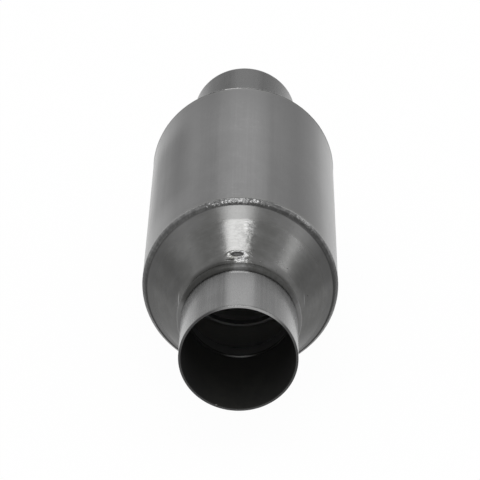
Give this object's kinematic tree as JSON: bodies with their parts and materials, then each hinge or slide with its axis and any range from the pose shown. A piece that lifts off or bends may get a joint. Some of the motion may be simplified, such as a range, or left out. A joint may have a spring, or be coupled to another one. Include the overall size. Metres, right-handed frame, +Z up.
{
  "type": "round muffler",
  "caption": "Round straight-through exhaust muffler: a rolled steel shell between two spun end cones, with a welded pipe stub at each end and open cones inside.",
  "frame": {"origin": "middle of the muffler, on its flow axis", "axes": "+Y along the flow axis from inlet to outlet, +Z up with the shell's seam at -Z"},
  "size_m": [0.1314, 0.376, 0.1314],
  "materials": {
    "shell_steel": "rolled satin sheet",
    "cone_steel": "spun, half polished",
    "pipe_steel": "satin tube",
    "inner_steel": "raw pressed sheet",
    "weld_bead": "rippled weld metal",
    "inner_weld": "rippled weld metal"
  },
  "bodies": {
    "root": {"shell": "shell_steel", "shell_seam_weld": "weld_bead", "inlet_pipe": "pipe_steel", "inlet_cone": "cone_steel", "inlet_diffuser": "inner_steel", "inlet_partition": "inner_steel", "inlet_neck_weld": "weld_bead", "inlet_end_weld": "weld_bead", "inlet_diffuser_weld": "inner_weld", "inlet_partition_tacks": "inner_weld", "outlet_pipe": "pipe_steel", "outlet_cone": "cone_steel", "outlet_diffuser": "inner_steel", "outlet_partition": "inner_steel", "outlet_neck_weld": "weld_bead", "outlet_end_weld": "weld_bead", "outlet_diffuser_weld": "inner_weld", "outlet_partition_tacks": "inner_weld"}
  },
  "joints": []
}
